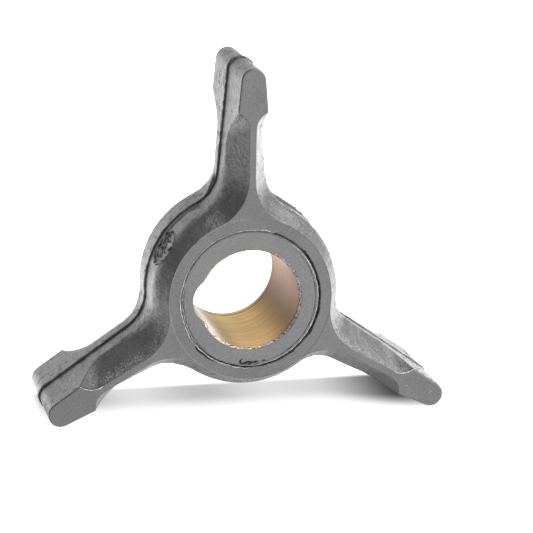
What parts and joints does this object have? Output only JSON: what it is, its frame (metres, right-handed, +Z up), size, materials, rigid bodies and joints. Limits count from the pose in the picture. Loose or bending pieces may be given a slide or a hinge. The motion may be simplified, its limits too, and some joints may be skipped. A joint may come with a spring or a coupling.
{
  "type": "pump impeller",
  "caption": "Moulded rubber water-pump impeller: wide straight vanes around a ring, with a keyed brass bushing through the middle.",
  "frame": {"origin": "centre of the bore on the parting plane halfway between the front and back faces", "axes": "+Y along the bore from the front face to the back face, +Z up along one vane, +X to the right as the front face is seen"},
  "size_m": [0.065, 0.0202, 0.0569],
  "materials": {
    "rubber": "matt dark grey moulded rubber with a fine grain",
    "brass": "bored brass, dulled, with a thin grey coat on both ends"
  },
  "bodies": {
    "root": {"rubber_body": "rubber", "brass_bushing": "brass"}
  },
  "joints": []
}
